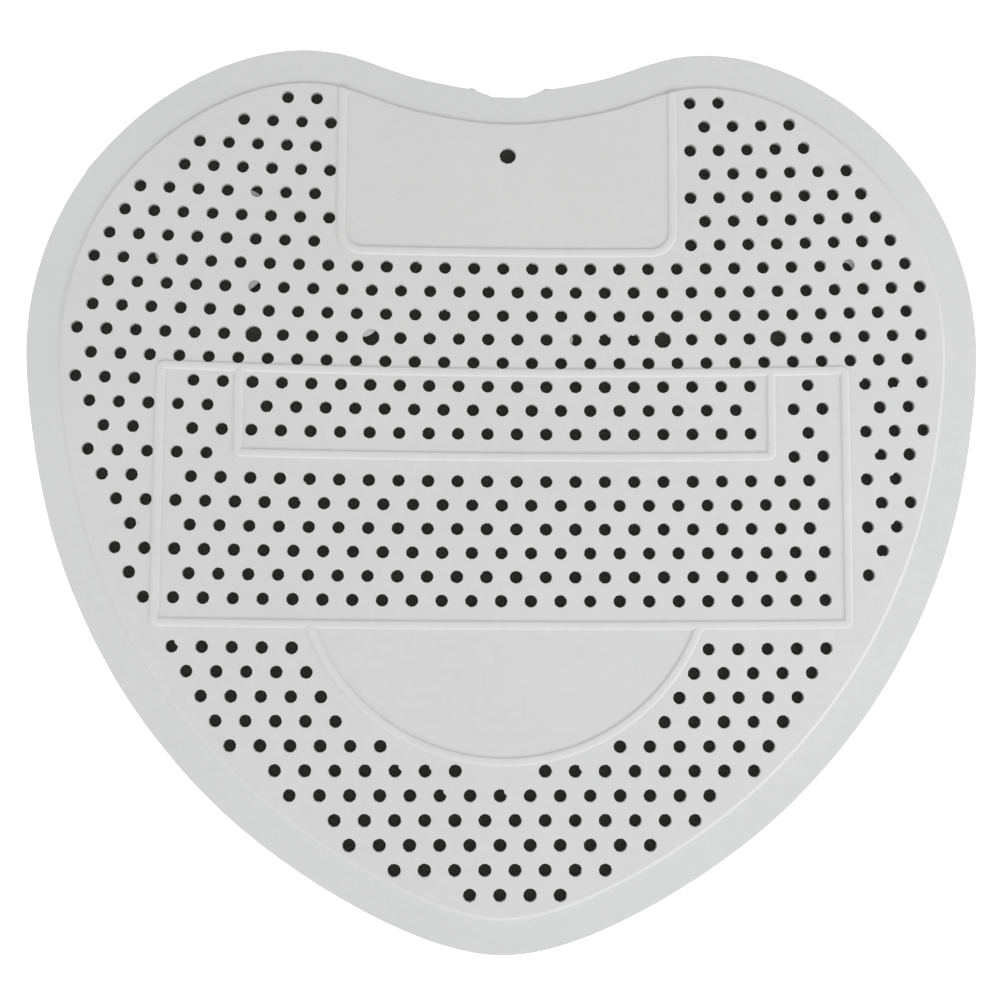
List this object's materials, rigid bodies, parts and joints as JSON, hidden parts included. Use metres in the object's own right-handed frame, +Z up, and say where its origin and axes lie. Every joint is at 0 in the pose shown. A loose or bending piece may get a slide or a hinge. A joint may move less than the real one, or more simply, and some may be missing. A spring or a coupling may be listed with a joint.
{
  "type": "urinal deodorizer screen",
  "caption": "Flat soft vinyl drain screen for a urinal: two-lobed rounded outline, lower rim, raised field with thin ribs and staggered drain holes.",
  "frame": {"origin": "middle of the flat underside, at the centre of the overall width and height, on the surface the sheet lies on", "axes": "+X across the width, to the right seen from above; +Y towards the edge with the two lobes and the dip between them; +Z up, out of the ribbed face"},
  "size_m": [0.1896, 0.1796, 0.0019],
  "materials": {
    "vinyl": "matte soft vinyl, light grey, very fine moulded grain"
  },
  "bodies": {
    "root": {"screen": "vinyl"}
  },
  "joints": []
}
